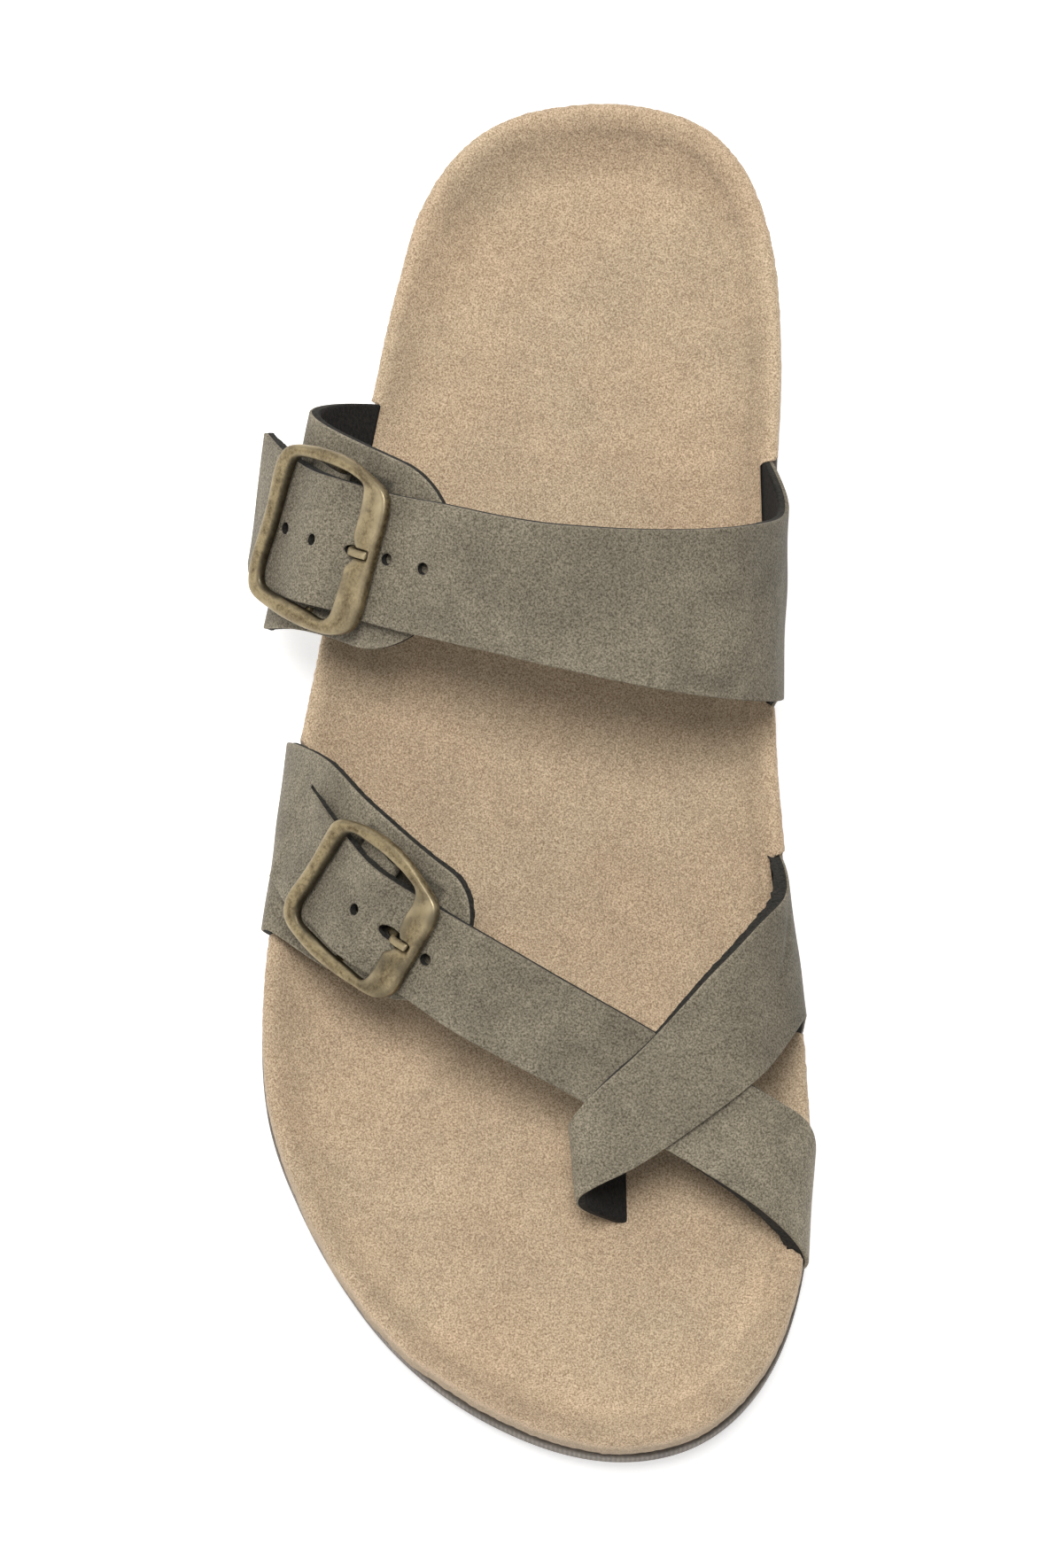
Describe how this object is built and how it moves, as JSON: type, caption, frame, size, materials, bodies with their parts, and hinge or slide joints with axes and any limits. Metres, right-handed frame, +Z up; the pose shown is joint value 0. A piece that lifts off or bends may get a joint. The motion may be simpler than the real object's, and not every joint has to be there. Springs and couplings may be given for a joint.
{
  "type": "cross-strap sandal",
  "caption": "Open sandal with a contoured suede footbed on a thin outsole, a wide buckled instep strap, and front straps that cross and fold down into a toe post.",
  "frame": {"origin": "middle of the footprint's box, on the plane that the sole stands on", "axes": "+X to the medial side, +Y to the heel, +Z up"},
  "size_m": [0.1052, 0.256, 0.0751],
  "materials": {
    "outsole_rubber": "matt, finely ribbed side",
    "footbed_suede": "tan suede with a fine nap",
    "strap_nubuck": "taupe nubuck, cloudy, dark cut edges",
    "buckle_brass": "antique brass, satin"
  },
  "bodies": {
    "root": {"outsole": "outsole_rubber", "footbed": "footbed_suede", "instep_strap": "strap_nubuck", "instep_flap": "strap_nubuck", "cross_strap": "strap_nubuck", "front_flap": "strap_nubuck", "instep_buckle_frame": "buckle_brass", "instep_buckle_prong": "buckle_brass", "front_buckle_frame": "buckle_brass", "front_buckle_prong": "buckle_brass"}
  },
  "joints": []
}
